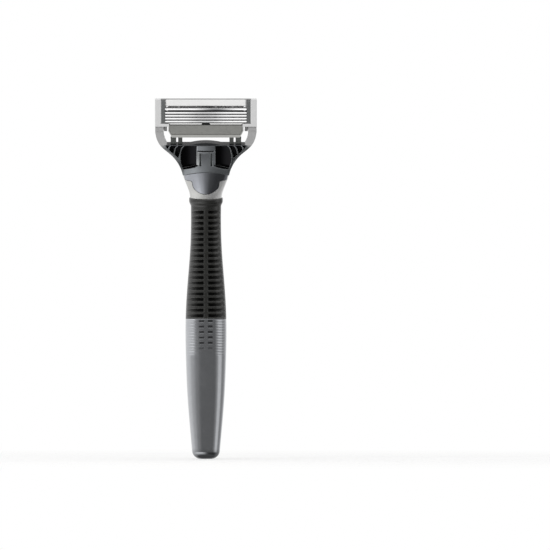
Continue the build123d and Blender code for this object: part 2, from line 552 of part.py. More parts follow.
def all_nodes():
    arm = make_yoke_arm()
    link = make_flex_link()
    nodes = {
        "handle_shell": make_handle_shell(),
        "core_rod": make_core_rod(),
        "grip_core": make_grip_core(),
        "rubber_grip": make_rubber_grip(),
        "neck_pin": make_neck_pin(),
        "neck": make_neck(),
        "release_button": make_release_button(),
        "button_slider": make_button_slider(),
        "button_spring": make_button_spring(),
        "docking_nose": make_docking_nose(),
        "nose_pin": make_nose_pin(),
        "yoke_body": make_yoke_body(),
        "yoke_arm_right": arm,
        "yoke_arm_left": mirror(arm, about=Plane.YZ),
        "flex_link_right": link,
        "flex_link_left": mirror(link, about=Plane.YZ),
    }
    nodes.update(blade_unit_nodes())
    return nodes


os.makedirs("parts", exist_ok=True)
for name, part in all_nodes().items():
    export_step(part, f"parts/{name}.step")
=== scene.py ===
import bpy
import json
import numpy as np
from math import cos, pi, radians, sin, tan
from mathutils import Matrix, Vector


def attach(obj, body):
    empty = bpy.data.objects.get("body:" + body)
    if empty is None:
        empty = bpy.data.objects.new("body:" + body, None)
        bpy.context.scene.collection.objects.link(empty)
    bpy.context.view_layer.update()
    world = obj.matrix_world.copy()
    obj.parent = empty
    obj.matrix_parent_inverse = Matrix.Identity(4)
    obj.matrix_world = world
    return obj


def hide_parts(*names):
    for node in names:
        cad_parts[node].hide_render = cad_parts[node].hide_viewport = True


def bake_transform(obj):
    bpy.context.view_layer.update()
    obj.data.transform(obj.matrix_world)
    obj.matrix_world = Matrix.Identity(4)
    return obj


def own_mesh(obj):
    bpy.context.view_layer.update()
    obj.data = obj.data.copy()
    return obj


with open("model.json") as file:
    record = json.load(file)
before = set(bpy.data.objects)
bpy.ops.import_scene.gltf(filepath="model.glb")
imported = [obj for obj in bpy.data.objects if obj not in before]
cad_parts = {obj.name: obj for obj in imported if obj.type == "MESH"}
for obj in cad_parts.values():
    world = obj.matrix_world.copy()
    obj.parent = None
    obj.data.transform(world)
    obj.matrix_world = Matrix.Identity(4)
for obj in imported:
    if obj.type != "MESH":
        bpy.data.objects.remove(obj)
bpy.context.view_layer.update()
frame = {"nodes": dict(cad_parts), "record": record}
NODES = frame["nodes"]

# Sizes are in millimetres, and MM turns them into Blender's metres.
# The HEAD frame and the UNIT frame hang off the pivot and lean forward by their tilts, in degrees.
MM = 0.001
HEAD_TILT, UNIT_TILT = 18.0, 8.0    # the neck and yoke, and the shaving face at rest
PIVOT = (0.0, -8.6, 135.7)          # axis of the blade unit


# ---------------------------------------------------------------- handle form
STATIONS = np.array([
    # height, half width, half depth, centre y
    (0.0, 5.4, 4.5, 0.0),
    (12.0, 6.5, 5.3, 1.0),
    (26.0, 7.6, 6.2, 1.95),
    (42.0, 8.25, 6.9, 2.7),
    (57.4, 8.35, 7.0, 3.0),
    (72.0, 7.55, 6.5, 2.95),
    (84.0, 6.6, 5.85, 2.55),
    (96.0, 6.15, 5.4, 1.75),
    (109.0, 6.3, 5.2, 0.4),
])
GRIP_BASE = 57.4
GROOVE_FIRST, GROOVE_PITCH, GROOVE_COUNT = 58.7, 2.23, 20


def natural_spline(knots, values):
    """Second derivatives of the smooth curve through values at knots."""
    n = len(knots)
    h = np.diff(knots)
    a = np.zeros((n, n))
    b = np.zeros(n)
    a[0, 0] = a[-1, -1] = 1.0
    for i in range(1, n - 1):
        a[i, i - 1], a[i, i], a[i, i + 1] = h[i - 1], 2 * (h[i - 1] + h[i]), h[i]
        b[i] = 6 * ((values[i + 1] - values[i]) / h[i] - (values[i] - values[i - 1]) / h[i - 1])
    return np.linalg.solve(a, b)


CURVES = [natural_spline(STATIONS[:, 0], STATIONS[:, k]) for k in (1, 2, 3)]


def section(z):
    """Half width, half depth and centre y of the handle at each height z."""
    knots = STATIONS[:, 0]
    i = np.clip(np.searchsorted(knots, z) - 1, 0, len(knots) - 2)
    h = knots[i + 1] - knots[i]
    p, q = (knots[i + 1] - z) / h, (z - knots[i]) / h
    found = []
    for k, m in enumerate(CURVES):
        v = STATIONS[:, k + 1]
        found.append(p * v[i] + q * v[i + 1] + ((p ** 3 - p) * m[i] + (q ** 3 - q) * m[i + 1]) * h * h / 6)
    return found


def smooth(t):
    """0 below 0, 1 above 1 and an even S between them."""
    t = np.clip(t, 0.0, 1.0)
    return t * t * (3 - 2 * t)


def rise(value, start, length):
    """An even S from 0 at start to 1 at start + length."""
    return smooth((value - start) / length)


# ---------------------------------------------------------------- meshes
def new_mesh(name, points, faces, body, node, slot):
    """A mesh piece from points in millimetres. It rides on a body and stands for one CAD node."""
    mesh = bpy.data.meshes.new(name)
    mesh.from_pydata([tuple(p) for p in np.asarray(points) * MM], [], faces)
    mesh.polygons.foreach_set("use_smooth", [True] * len(mesh.polygons))
    mesh.update()
    obj = bpy.data.objects.new(name, mesh)
    bpy.context.scene.collection.objects.link(obj)
    if body:
        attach(obj, body)
    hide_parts(node)
    mesh.materials.append(MATERIALS[slot])
    return obj


def placed(points, tilt):
    """Points from the HEAD or UNIT frame, which leans forward by tilt, in the row frame."""
    x, y, z = np.moveaxis(np.asarray(points, dtype=float), -1, 0)
    c, s = cos(radians(tilt)), sin(radians(tilt))
    return np.stack([x + PIVOT[0], PIVOT[1] + y * c - z * s, PIVOT[2] + y * s + z * c], axis=-1)


def tube_faces(rings, around, closed_ends=True):
    """Faces of a tube of rings joined in order, with its ends capped or joined to each other."""
    faces = []
    for r in range(rings - 1 if closed_ends else rings):
        low, high = r * around, (r + 1) % rings * around
        for a in range(around):
            b = (a + 1) % around
            faces.append((low + a, low + b, high + b, high + a))
    if closed_ends:
        faces.append(tuple(reversed(range(around))))
        faces.append(tuple(range((rings - 1) * around, rings * around)))
    return faces


# ---------------------------------------------------------------- shader helpers
def linear(v):
    """A display grey as linear light."""
    return v / 12.92 if v <= 0.04045 else ((v + 0.055) / 1.055) ** 2.4


def tone(r, g=None, b=None):
    """A display colour as a linear RGBA."""
    g = r if g is None else g
    b = r if b is None else b
    return (linear(r), linear(g), linear(b), 1.0)


def feed(tree, node, key, value):
    """Sets one input of a node to a value, or links another node's output to it."""
    if isinstance(value, bpy.types.NodeSocket):
        tree.links.new(value, node.inputs[key])
    else:
        node.inputs[key].default_value = value


def add(tree, kind, inputs=None, **settings):
    """A shader node with its settings and its inputs, which are values or other nodes' outputs."""
    node = tree.nodes.new(kind)
    for key, value in settings.items():
        setattr(node, key, value)
    for key, value in (inputs or {}).items():
        feed(tree, node, key, value)
    return node


def math(tree, operation, a, b=0.0, clamp=False):
    """One sum of two values."""
    return add(tree, "ShaderNodeMath", {0: a, 1: b}, operation=operation, use_clamp=clamp).outputs[0]


def scaled(tree, value, gain, offset):
    """gain times value, plus offset."""
    return add(tree, "ShaderNodeMath", {0: value, 1: gain, 2: offset}, operation="MULTIPLY_ADD").outputs[0]


def all_of(tree, *masks):
    """Where every mask holds: their product."""
    joined = masks[0]
    for mask in masks[1:]:
        joined = math(tree, "MULTIPLY", joined, mask)
    return joined


def unless(tree, mask):
    """Where the mask doesn't hold."""
    return math(tree, "SUBTRACT", 1.0, mask)


def map_range(tree, value, low, high, out_low, out_high, curve="LINEAR"):
    """Carries value from the range low to high over to the range out_low to out_high."""
    return add(tree, "ShaderNodeMapRange", {"Value": value, "From Min": low, "From Max": high,
                                            "To Min": out_low, "To Max": out_high},
               interpolation_type=curve).outputs["Result"]


def ramp(tree, value, edge, out_low=0.0, out_high=1.0):
    """Smooth step of value over edge, which is where it starts and where it is full."""
    return map_range(tree, value, edge[0], edge[1], out_low, out_high, "SMOOTHSTEP")


def ramp_mm(tree, value, edge, out_low=0.0, out_high=1.0):
    """The same, with the edge in millimetres."""
    return ramp(tree, value, (edge[0] * MM, edge[1] * MM), out_low, out_high)


def mix(tree, factor, a, b, blend="MIX"):
    """Colour a turned to b by factor."""
    node = add(tree, "ShaderNodeMix", data_type="RGBA", blend_type=blend)
    for key, value in ((0, factor), (6, a), (7, b)):
        feed(tree, node, key, value)
    return node.outputs[2]


def dimmed(tree, painted, factor):
    """A colour multiplied by a grey factor."""
    grey = add(tree, "ShaderNodeCombineColor", {0: factor, 1: factor, 2: factor}).outputs[0]
    return mix(tree, 1.0, painted, grey, "MULTIPLY")


def noise(tree, space, scale, detail):
    """A cloudy noise."""
    return add(tree, "ShaderNodeTexNoise", {"Vector": space, "Scale": scale, "Detail": detail}).outputs["Fac"]


def spread(tree, cloud, low, high):
    """A noise, which lies mostly between 0.3 and 0.7, spread out from low to high."""
    return map_range(tree, cloud, 0.3, 0.7, low, high)


def object_place(tree):
    """The place of each point in the row frame, in metres."""
    return add(tree, "ShaderNodeTexCoord").outputs["Object"]


def local(tree, tilt):
    """x, y and z in metres in the HEAD or UNIT frame, which leans by tilt."""
    pivot = [v * MM for v in PIVOT]
    turned = add(tree, "ShaderNodeMapping", {"Vector": object_place(tree), "Location": pivot,
                                             "Rotation": (radians(tilt), 0, 0)}, vector_type="TEXTURE")
    return add(tree, "ShaderNodeSeparateXYZ", {0: turned.outputs[0]}).outputs[0:3]


def hollow_depth(tree):
    """The groove depth that a ring mesh stores: 0 on the lands, 1 on a groove's floor."""
    return add(tree, "ShaderNodeAttribute", attribute_name="hollow").outputs["Fac"]


# ---------------------------------------------------------------- finish and painted edge highlights
ROUGH_CLOUD = 0.31          # scale of the uneven roughness, as a share of the mottle's
LEAST_ROUGH = 0.02
GRAIN_HEIGHT = 0.02
MOTTLE_DETAIL, ROUGH_DETAIL, GRAIN_DETAIL = 4.0, 5.0, 2.0
BEVEL_SAMPLES = 4


def painted_edge_mask(tree, soft, gain):
    """Where the softened normal leaves the true one: 1 on an edge, 0 on a flat. The edge colour is painted
    there, mostly as a painted highlight.
    """
    true = add(tree, "ShaderNodeNewGeometry").outputs["True Normal"]
    dot = add(tree, "ShaderNodeVectorMath", {0: soft, 1: true}, operation="DOT_PRODUCT").outputs["Value"]
    return math(tree, "MULTIPLY", unless(tree, dot), gain, clamp=True)


def material(name, color, metallic=0.0, rough=0.4, specular=0.5, mottle=0.05, mottle_scale=500.0,
             grain=0.15, grain_scale=9000.0, stretch=(1, 1, 1), rough_var=0.06, edge=None, edge_radius=0.12,
             edge_gain=3.0, region=None, veil=None):
    """A procedural finish: mottled colour, uneven roughness, fine grain, softened edges and an edge colour
    that is mostly a painted highlight.

    region(tree, color) paints the piece by position, painted light and shade included: it gives colour, metal
    and added roughness.
    veil(tree) gives a factor that dims the colour and the shine, as painted shade in the grooves and on the
    butt.
    """
    made = bpy.data.materials.new(name)
    made.use_nodes = True
    tree = made.node_tree
    space = add(tree, "ShaderNodeMapping", {"Vector": object_place(tree), "Scale": stretch}).outputs[0]
    soft = add(tree, "ShaderNodeBevel", {"Radius": edge_radius * MM}, samples=BEVEL_SAMPLES).outputs[0]

    painted, metal, rougher = region(tree, color) if region else (color, metallic, 0.0)
    patches = noise(tree, space, mottle_scale, MOTTLE_DETAIL)
    painted = dimmed(tree, painted, spread(tree, patches, 1 - mottle, 1 + mottle))
    # The edge colour: a painted highlight on rounded edges, and a darker edge on the retainer.
    if edge:
        painted = mix(tree, painted_edge_mask(tree, soft, edge_gain), painted, edge)
    shine = specular
    if veil:
        dim = veil(tree)
        painted = dimmed(tree, painted, dim)
        shine = math(tree, "MULTIPLY", dim, specular)

    cloud = noise(tree, space, mottle_scale * ROUGH_CLOUD, ROUGH_DETAIL)
    uneven = spread(tree, cloud, max(LEAST_ROUGH, rough - rough_var), rough + rough_var)
    bump = add(tree, "ShaderNodeBump", {"Strength": grain, "Distance": GRAIN_HEIGHT * MM, "Normal": soft,
                                        "Height": noise(tree, space, grain_scale, GRAIN_DETAIL)})
    shader = tree.nodes["Principled BSDF"]
    feed(tree, shader, "Base Color", painted)
    feed(tree, shader, "Metallic", metal)
    feed(tree, shader, "Roughness", math(tree, "ADD", uneven, rougher, clamp=True))
    feed(tree, shader, "Specular IOR Level", shine)
    feed(tree, shader, "Normal", bump.outputs[0])
    return made


# ---------------------------------------------------------------- yoke, HEAD frame
# An edge below is a pair in mm: where its region starts and where it is full.
LENS_FOOT, LENS_RISE, LENS_POWER = -17.5, 11.5, 1.6     # the yoke's lens-shaped form widens over this height
LENS_HALF, LENS_GAIN = 11.2, 19.8                       # its half width at the foot, and what it gains above
SKIN_LINES = ((-6.0, 2.1, 0.215), (-12.5, 3.5, 0.14))   # height, half depth there and gain per mm below it
SCOOP_EDGE, BACK_EDGE = (0.2, 0.6), (1.5, 1.3)          # depth below the skin, and y towards the back
FLANK_Z, FLANK_HALF, FLANK_SLOPE = -15.2, 10.5, 0.5     # the line outside which the lower sides stay slate
FLANK_EDGE, FLANK_TOP = (0.0, 0.2), (-13.7, -13.9)
BLOCK_SIDE, BLOCK_FRONT, BLOCK_TOP = (4.0, 3.88), (-1.9, -2.2), (-6.45, -6.6)
TOP_EDGE, MOUTH_EDGE = (-6.6, -6.25), (-17.2, -17.6)
WING_SIDE, WING_TOP = (8.5, 9.5), (-7.5, -9.0)          # the darker outer rim
# A painted highlight down the left leg of the centre block, where the light from the left catches it.
LEG_SIDE, LEG_TOP, LEG_FOOT, LEG_STRENGTH = (-2.5, -2.7), (-9.5, -9.7), (-15.6, -14.6), 0.8
BAND_EDGE, BAND_DIM = (-7.25, -6.75), 0.12              # the thin top band
YOKE_METAL = 0.85
WING_SLATE, LEG_HIGHLIGHT = (0.13, 0.14, 0.145, 1.0), (0.62, 0.64, 0.64, 1.0)
# Painted shade, very dark, inside the scoops and pockets.
SCOOP_SHADE = (0.006, 0.006, 0.007, 1.0)


def yoke_skin(tree, x, z):
    """Half depth of the yoke's lens-shaped form at x and z."""
    along = math(tree, "DIVIDE", math(tree, "SUBTRACT", z, LENS_FOOT * MM), LENS_RISE * MM, clamp=True)
    wide = scaled(tree, math(tree, "POWER", along, LENS_POWER), LENS_GAIN * MM, LENS_HALF * MM)
    upper, lower = [scaled(tree, math(tree, "SUBTRACT", height * MM, z), gain, half * MM)
                    for height, half, gain in SKIN_LINES]
    deep = math(tree, "MINIMUM", upper, lower)
    ratio = math(tree, "POWER", math(tree, "ABSOLUTE", math(tree, "DIVIDE", x, wide)), 2.0)
    return math(tree, "MULTIPLY", deep, math(tree, "SQRT", math(tree, "SUBTRACT", 1.0, ratio, clamp=True)))


def yoke_recess(tree, x, y, z):
    """The scoops and pockets, which lie below the skin of the front."""
    below = math(tree, "ADD", y, yoke_skin(tree, x, z))
    flank = scaled(tree, math(tree, "SUBTRACT", z, FLANK_Z * MM), FLANK_SLOPE, FLANK_HALF * MM)
    over = math(tree, "SUBTRACT", math(tree, "ABSOLUTE", x), flank)
    outer = all_of(tree, ramp_mm(tree, over, FLANK_EDGE), ramp_mm(tree, z, FLANK_TOP))
    return all_of(tree, ramp_mm(tree, below, SCOOP_EDGE), ramp_mm(tree, y, BACK_EDGE), unless(tree, outer))


def yoke_regions(tree, color):
    """Slate outer skin, centre block and mouth rim; very dark painted shade inside the scoops and pockets,
    and a painted highlight down the centre block's left leg.
    """
    x, y, z = local(tree, HEAD_TILT)
    side = math(tree, "ABSOLUTE", x)
    block = all_of(tree, ramp_mm(tree, side, BLOCK_SIDE), ramp_mm(tree, y, BLOCK_FRONT),
                   ramp_mm(tree, z, BLOCK_TOP))
    slate = math(tree, "MAXIMUM", block, ramp_mm(tree, z, TOP_EDGE))
    slate = math(tree, "MAXIMUM", slate, ramp_mm(tree, z, MOUTH_EDGE))
    # Painted shade in the scoops and pockets, outside the slate areas.
    scoop_shade = all_of(tree, yoke_recess(tree, x, y, z), unless(tree, slate))
    wing = all_of(tree, ramp_mm(tree, side, WING_SIDE), ramp_mm(tree, z, WING_TOP))
    # Painted highlight on the centre block's left leg.
    leg = all_of(tree, block, ramp_mm(tree, x, LEG_SIDE), ramp_mm(tree, z, LEG_TOP),
                 ramp_mm(tree, z, LEG_FOOT))
    painted = mix(tree, wing, color, WING_SLATE)
    painted = mix(tree, math(tree, "MULTIPLY", leg, LEG_STRENGTH), painted, LEG_HIGHLIGHT)
    metal = ramp_mm(tree, z, BAND_EDGE, YOKE_METAL, 0.0)
    return mix(tree, scoop_shade, painted, SCOOP_SHADE), metal, 0.0


def yoke_veil(tree):
    """Dims the yoke's thin top band."""
    return ramp_mm(tree, local(tree, HEAD_TILT)[2], BAND_EDGE, 1.0, BAND_DIM)


# ---------------------------------------------------------------- arms and neck, HEAD frame
TAIL_EDGE, TAIL_SLATE, TAIL_METAL, TAIL_GLOSS = (-6.6, -8.6), (0.20, 0.21, 0.215, 1.0), 0.85, -0.1
# A painted highlight on the neck's right side.
NECK_EDGE, NECK_HIGHLIGHT = (-1.5, 2.5), (0.95, 0.95, 0.94, 1.0)


def arm_regions(tree, color):
    """Satin grey horns that turn to the yoke's dark gloss along their tails."""
    tail = ramp_mm(tree, local(tree, HEAD_TILT)[2], TAIL_EDGE)
    painted = mix(tree, tail, color, TAIL_SLATE)
    return painted, math(tree, "MULTIPLY", tail, TAIL_METAL), math(tree, "MULTIPLY", tail, TAIL_GLOSS)


def neck_regions(tree, color):
    """Satin plating with a painted highlight that makes it brighter on its right."""
    right = ramp_mm(tree, local(tree, HEAD_TILT)[0], NECK_EDGE)
    return mix(tree, right, color, NECK_HIGHLIGHT), 1.0, 0.0


# ---------------------------------------------------------------- blade unit, UNIT frame
# Edges are pairs again. A side is a distance from the middle plane, and the others are heights or, for
# the wall's back, a y.
RIM_SIDE, RIM_EDGE, RIM_GREY = (15.7, 14.6), (1.0, -1.5), tone(0.66, 0.66, 0.645)
CROWN_SIDE, CROWN_EDGE, CROWN_GREY = (18.6, 18.3), (11.4, 11.55), tone(0.52)
# Painted light: the cap wall above the blades, which lies in shade, is painted pale, greyer in the middle.
WALL_SIDE, WALL_EDGE, WALL_BACK = (16.8, 16.5), (7.9, 8.2), (1.5, 1.3)
WALL_MIDDLE, WALL_LIGHT_GREY, WALL_LIGHT_PALE = (0.0, 8.0), tone(0.72), tone(0.93)
LUG_SIDE, LUG_EDGE, LUG_GREY = (15.6, 15.8), (2.1, 1.9), tone(0.52)
# Painted light on the last carrier's leg above the blades.
CARRIER_EDGE, CARRIER_LIGHT = (7.9, 8.05), tone(0.9)
LAST_BLADE, LAST_SHIFT = (7.2, 7.5), 4.0                # height of the last blade and x of its dark stretch
DARK_EDGE, DARK_STRENGTH, DARK_STEEL = (10.0, 0.5), 0.42, (0.1, 0.105, 0.11, 1.0)


def frame_regions(tree, color):
    """Light grey bars; the rim round the guard is closer to the guard's grey, and the top rim is darker."""
    x, _, z = local(tree, UNIT_TILT)
    side = math(tree, "ABSOLUTE", x)
    rim = all_of(tree, ramp_mm(tree, side, RIM_SIDE), ramp_mm(tree, z, RIM_EDGE))
    crown = all_of(tree, ramp_mm(tree, side, CROWN_SIDE), ramp_mm(tree, z, CROWN_EDGE))
    return mix(tree, crown, mix(tree, rim, color, RIM_GREY), CROWN_GREY), 0.0, 0.0


def housing_regions(tree, color):
    """Dark body with a cap wall above the blades painted pale as painted light, and lighter lugs outside the
    guard.
    """
    x, y, z = local(tree, UNIT_TILT)
    side = math(tree, "ABSOLUTE", x)
    wall = all_of(tree, ramp_mm(tree, z, WALL_EDGE), ramp_mm(tree, side, WALL_SIDE),
                  ramp_mm(tree, y, WALL_BACK))
    # Painted light on the cap wall, greyer towards the middle.
    pale = mix(tree, ramp_mm(tree, side, WALL_MIDDLE), WALL_LIGHT_GREY, WALL_LIGHT_PALE)
    lug = all_of(tree, ramp_mm(tree, side, LUG_SIDE), ramp_mm(tree, z, LUG_EDGE))
    return mix(tree, lug, mix(tree, wall, color, pale), LUG_GREY), 0.0, 0.0


def support_regions(tree, color):
    """Rolled steel; above the blades the last carrier's leg is painted pale, as painted light."""
    last = ramp_mm(tree, local(tree, UNIT_TILT)[2], CARRIER_EDGE)
    return mix(tree, last, color, CARRIER_LIGHT), unless(tree, last), 0.0


def blade_regions(tree, color):
    """Ground steel that darkens towards the middle, as a polished blade under side lights does."""
    x, _, z = local(tree, UNIT_TILT)
    last = ramp_mm(tree, z, LAST_BLADE)
    off = math(tree, "ABSOLUTE", math(tree, "SUBTRACT", x, math(tree, "MULTIPLY", last, LAST_SHIFT * MM)))
    strength = scaled(tree, last, DARK_STRENGTH, DARK_STRENGTH)
    dark = math(tree, "MULTIPLY", ramp_mm(tree, off, DARK_EDGE), strength)
    return mix(tree, dark, color, DARK_STEEL), 1.0, 0.0


# ---------------------------------------------------------------- handle
GROOVE_EDGE, GROOVE_ROUGHER = (0.15, 0.75), 0.35        # stored groove depth, and the roughness it adds
VEIL_EDGE, VEIL_DIM = (0.1, 0.95), 0.1
NOTCH_EDGE, NOTCH_DIM, NOTCH_ROUGHER = (0.1, 0.9), 0.2, 0.1
BUTT_EDGE, BUTT_DIM = (0.5, 4.8), 0.3                   # height above the butt


def grooved(tree, color):
    """Roughens the floors of the grooves."""
    return color, 0.0, math(tree, "MULTIPLY", ramp(tree, hollow_depth(tree), GROOVE_EDGE), GROOVE_ROUGHER)


def groove_veil(tree):
    """Dims the floors of the grooves, where little light gets in."""
    return ramp(tree, hollow_depth(tree), VEIL_EDGE, 1.0, VEIL_DIM)


def notched(tree, color):
    """Darkens the shallow finger notches in the plated shell with painted shade."""
    notch = ramp(tree, hollow_depth(tree), NOTCH_EDGE)
    shadow = [v * NOTCH_DIM for v in color[:3]] + [1.0]
    return mix(tree, notch, color, shadow), 1.0, math(tree, "MULTIPLY", notch, NOTCH_ROUGHER)


def butt_veil(tree):
    """Painted shade: dims the rounded butt, which faces the ground."""
    z = add(tree, "ShaderNodeSeparateXYZ", {0: object_place(tree)}).outputs[2]
    return ramp_mm(tree, z, BUTT_EDGE, BUTT_DIM, 1.0)


# ---------------------------------------------------------------- materials
# An edge colour lighter than a piece's colour is a painted highlight on its rounded edges; the retainer's
# edge colour is darker.
FINISH = {
    "plated_shell": dict(color=(0.47, 0.48, 0.50, 1), rough=0.16, rough_var=0.03, mottle=0.03, grain=0.05,
                         grain_scale=14000.0, edge_radius=0.05, region=notched, veil=butt_veil),
    "core_steel": dict(color=(0.5, 0.5, 0.5, 1), metallic=1.0, rough=0.35, mottle=0.1, stretch=(1, 1, 12)),
    "core_plastic": dict(color=tone(0.16), rough=0.55, mottle=0.1),
    "grip_rubber": dict(color=tone(0.105, 0.105, 0.094), rough=0.27, rough_var=0.07, specular=0.75,
                        mottle=0.16, mottle_scale=1400.0, grain=0.3, grain_scale=7000.0, edge_radius=0.03,
                        region=grooved, veil=groove_veil),
    "plated_neck": dict(color=(0.57, 0.57, 0.555, 1), rough=0.46, rough_var=0.05, mottle=0.03,
                        edge_radius=0.15, region=neck_regions),
    "button_gloss": dict(color=(0.29, 0.30, 0.325, 1), metallic=1.0, rough=0.14, rough_var=0.03, mottle=0.03,
                         edge_radius=0.2),
    "spring_steel": dict(color=(0.5, 0.5, 0.5, 1), metallic=1.0, rough=0.3, mottle=0.08),
    "nose_grey": dict(color=tone(0.42, 0.45, 0.45), rough=0.3, edge=tone(0.6), edge_radius=0.15),
    "yoke_gloss": dict(color=(0.26, 0.275, 0.29, 1), rough=0.2, rough_var=0.04, mottle=0.05,
                       edge=(0.42, 0.43, 0.43, 1), edge_radius=0.32, edge_gain=1.6,
                       region=yoke_regions, veil=yoke_veil),
    "arm_grey": dict(color=tone(0.65), rough=0.3, specular=0.6, edge=tone(0.75), edge_radius=0.3,
                     edge_gain=1.5, region=arm_regions),
    "link_rubber": dict(color=tone(0.31, 0.32, 0.31), rough=0.45, mottle=0.15, grain=0.4, edge_radius=0.1),
    "frame_light": dict(color=tone(0.82), rough=0.35, specular=0.4, edge=tone(0.84), edge_radius=0.15,
                        edge_gain=1.5, mottle=0.025, region=frame_regions),
    "housing_dark": dict(color=tone(0.15, 0.155, 0.155), rough=0.42, edge=tone(0.3), edge_radius=0.1,
                         edge_gain=1.5, region=housing_regions),
    "retainer_metal": dict(color=(0.30, 0.31, 0.31, 1), metallic=0.9, rough=0.3, stretch=(1, 1, 14),
                           mottle=0.06, edge=tone(0.2), edge_radius=0.12),
    "polished_plate": dict(color=(0.93, 0.93, 0.92, 1), metallic=1.0, rough=0.16, edge_radius=0.05,
                           mottle=0.02),
    "guard_rubber": dict(color=tone(0.52, 0.52, 0.505), rough=0.5, mottle=0.05, edge_radius=0.12,
                         edge=tone(0.6), edge_gain=1.2),
    "strip_pale": dict(color=tone(0.93, 0.93, 0.925), rough=0.3, specular=0.4, mottle=0.015,
                       mottle_scale=900.0, grain=0.25, stretch=(0.15, 1, 1), edge=tone(0.99),
                       edge_radius=0.3, edge_gain=2.0),
    "blade_steel": dict(color=(0.93, 0.93, 0.93, 1), rough=0.2, stretch=(0.05, 1, 1), mottle=0.05,
                        edge_radius=0.02, region=blade_regions),
    "support_steel": dict(color=(0.025, 0.025, 0.027, 1), rough=0.4, stretch=(0.05, 1, 1), mottle=0.1,
                          edge_radius=0.03, region=support_regions),
}
MATERIALS = {slot: material(slot, **finish) for slot, finish in FINISH.items()}

slot_of = {row["node"]: row["material_slot"] for row in frame["record"]["subparts"]}
for name, obj in NODES.items():
    obj.data.materials.clear()
    obj.data.materials.append(MATERIALS[slot_of[name]])
    obj.data.polygons.foreach_set("use_smooth", [True] * len(obj.data.polygons))


# ---------------------------------------------------------------- ribs, grooves and ring meshes
AROUND = 240
TURNS = np.linspace(0, 2 * pi, AROUND, endpoint=False)


def groove(z, first, pitch, count, half_width, soft):
    """1 inside one of the grooves, 0 on the lands, with soft walls."""
    nearest = first + np.clip(np.round((z - first) / pitch), 0, count - 1) * pitch
    return 1 - smooth((np.abs(z - nearest) - (half_width - soft)) / (2 * soft))


def ribs(z):
    """Fine ribs at twice the groove pitch: 0 on a crest, 1 in a valley."""
    return 0.5 - 0.5 * np.cos(2 * pi * (z - GROOVE_FIRST) / (GROOVE_PITCH / 2))


def rounded_edge(away, radius):
    """How far a rounded edge draws in, at a distance away from its end."""
    drawn = radius - np.sqrt(np.maximum(radius ** 2 - (radius - away) ** 2, 0))
    return np.where(away < radius, drawn, 0)


def oval_ring(z, half_width, half_depth, y):
    """One oval ring of points at height z."""
    height = np.broadcast_to(z, TURNS.shape)
    return np.stack([half_width * np.cos(TURNS), y + half_depth * np.sin(TURNS), height], axis=-1)


def ring_mesh(name, heights, surface, bore, closed_ends, node, slot):
    """A skin with one ring at each height, from surface(z, turn), which gives points and hollow depth.

    The skin turns in at the top and runs down the rings of the bore.
    """
    zz, tt = np.meshgrid(heights, TURNS, indexing="ij")
    points, hollow = surface(zz, tt)
    points = np.concatenate([points, np.array(bore)])
    faces = tube_faces(len(points), AROUND, closed_ends)
    obj = new_mesh(name, points.reshape(-1, 3), faces, "handle", node, slot)
    depth = obj.data.attributes.new("hollow", "FLOAT", "POINT")
    inside = np.zeros((len(bore), AROUND))
    depth.data.foreach_set("value", np.concatenate([hollow, inside]).reshape(-1))


# ---------------------------------------------------------------- lower shell
BUTT_ROUND = 3.2
RIB_FOOT, RIB_DEPTH = 41.6, 0.09            # the finger ribs fade out at this height
RIB_TOP = (57.0, 0.35)                      # a start and a length, as for each fade below
NOTCH_COUNT, NOTCH_HALF, NOTCH_SOFT, NOTCH_DEPTH = 7, 0.5, 0.3, 0.05
NOTCH_IN, NOTCH_OUT, NOTCH_FADE = (0.65, 0.3), (2.4, 0.8), (RIB_FOOT - 1.0, 9.0)
FLANK_IN, FLANK_OUT, RIB_FADE = (2.6, 3.6), (0.95, 0.05), (RIB_FOOT, 1.5)
SOCKET = (5.65, 4.85, 2.9)                  # half width, half depth and centre y of the grip core's socket
BORE = (3.25, 3.25, 2.0)                    # the same for the rod's bore
SOCKET_FOOT, BORE_FOOT = 51.3, 17.9
TURN_IN = 0.2                               # rings this far from a corner of the bore keep it crisp
BUTT_STEPS = 18
PLAIN_STRETCH = (3.6, 40.6, 38)             # lowest ring, highest ring and number of rings
RIBBED_STRETCH = (41.0, GRIP_BASE, 190)


def shell_surface(z, turn):
    """The metal shell: notches beside a plain spine and fine flank ribs fade out below its top."""
    w, d, yc = section(z)
    inset = rounded_edge(z, BUTT_ROUND)
    x = np.abs((w - inset) * np.cos(turn))
    top = 1 - rise(z, *RIB_TOP)
    beside = rise(x, *NOTCH_IN) * (1 - rise(x, *NOTCH_OUT))
    first = GROOVE_FIRST - NOTCH_COUNT * GROOVE_PITCH
    notch = groove(z, first, GROOVE_PITCH, NOTCH_COUNT, NOTCH_HALF, NOTCH_SOFT)
    notch = notch * beside * rise(z, *NOTCH_FADE) * top
    flank = rise(x, *FLANK_IN) * (1 - rise(x / w, *FLANK_OUT)) * top
    rib = ribs(z) * RIB_DEPTH * flank * rise(z, *RIB_FADE)
    inset = inset + notch * NOTCH_DEPTH + rib
    points = np.stack([(w - inset) * np.cos(turn), yc + (d - inset) * np.sin(turn), z], axis=-1)
    return points, notch


def shell_bore():
    """Rings of the socket and, below it, of the rod's bore."""
    rings = []
    for form, top, foot in ((SOCKET, GRIP_BASE, SOCKET_FOOT), (BORE, SOCKET_FOOT, BORE_FOOT)):
        rings += [oval_ring(z, *form) for z in (top, top - TURN_IN, foot + TURN_IN, foot)]
    return rings


butt_heights = BUTT_ROUND * (1 - np.cos(np.linspace(0, pi / 2, BUTT_STEPS)))
shell_heights = np.concatenate([butt_heights, np.linspace(*PLAIN_STRETCH), np.linspace(*RIBBED_STRETCH)])
ring_mesh("handle_shell_ribbed", shell_heights, shell_surface, shell_bore(), True,
          "handle_shell", "plated_shell")


